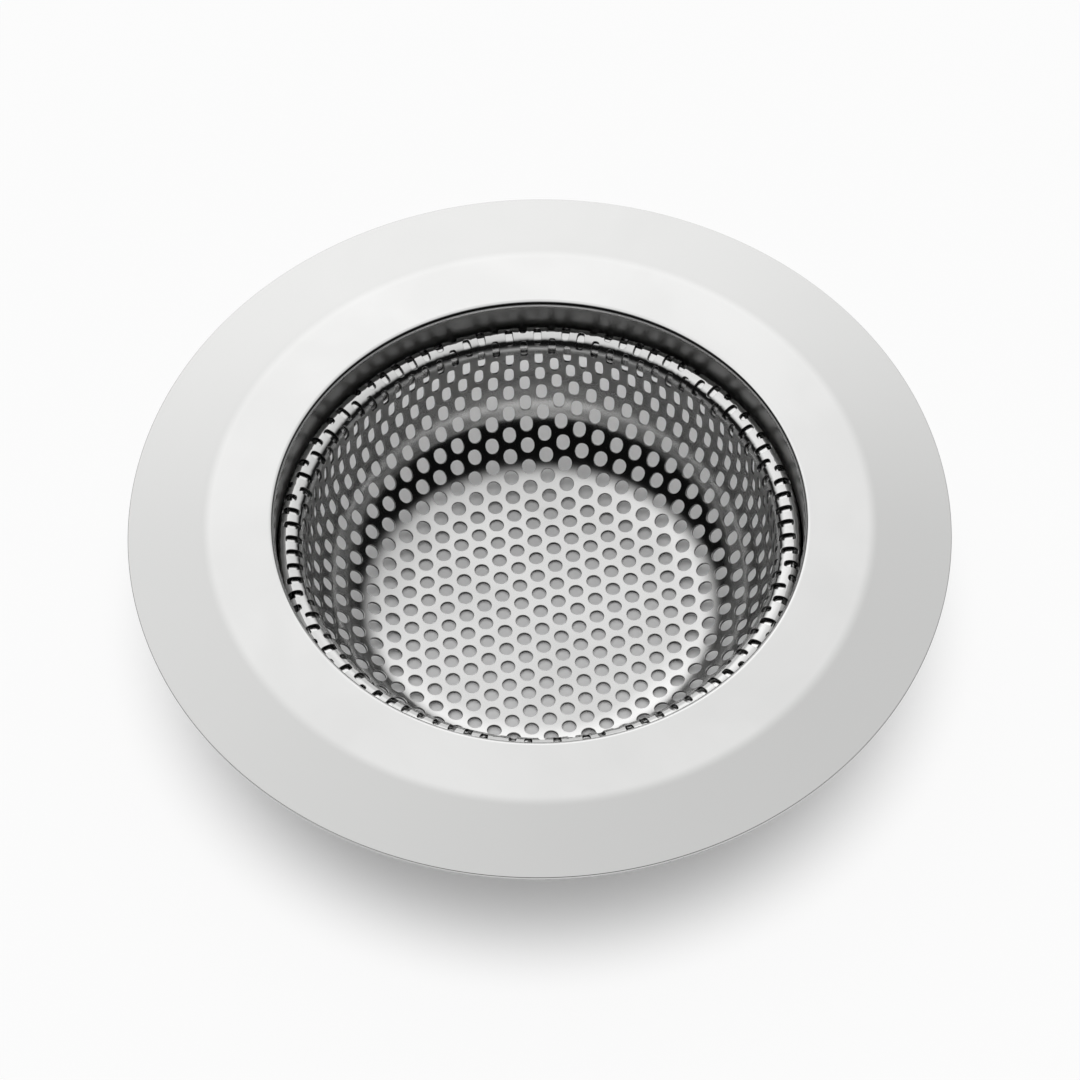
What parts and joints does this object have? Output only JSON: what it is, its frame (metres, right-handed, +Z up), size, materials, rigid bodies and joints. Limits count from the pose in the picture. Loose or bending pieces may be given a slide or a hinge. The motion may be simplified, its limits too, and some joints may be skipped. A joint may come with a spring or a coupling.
{
  "type": "sink strainer",
  "caption": "Stainless sink strainer: a drawn perforated basket whose rolled top edge hooks into the neck of a wide polished rim.",
  "frame": {"origin": "on the basket's axis, at the underside of its floor", "axes": "+Z up along the axis, towards the mouth; +Y away from the picture's camera"},
  "size_m": [0.113, 0.113, 0.0247],
  "materials": {
    "rim_steel": "polished",
    "basket_steel": "bright drawn sheet"
  },
  "bodies": {
    "root": {"rim": "rim_steel", "basket": "basket_steel"}
  },
  "joints": []
}
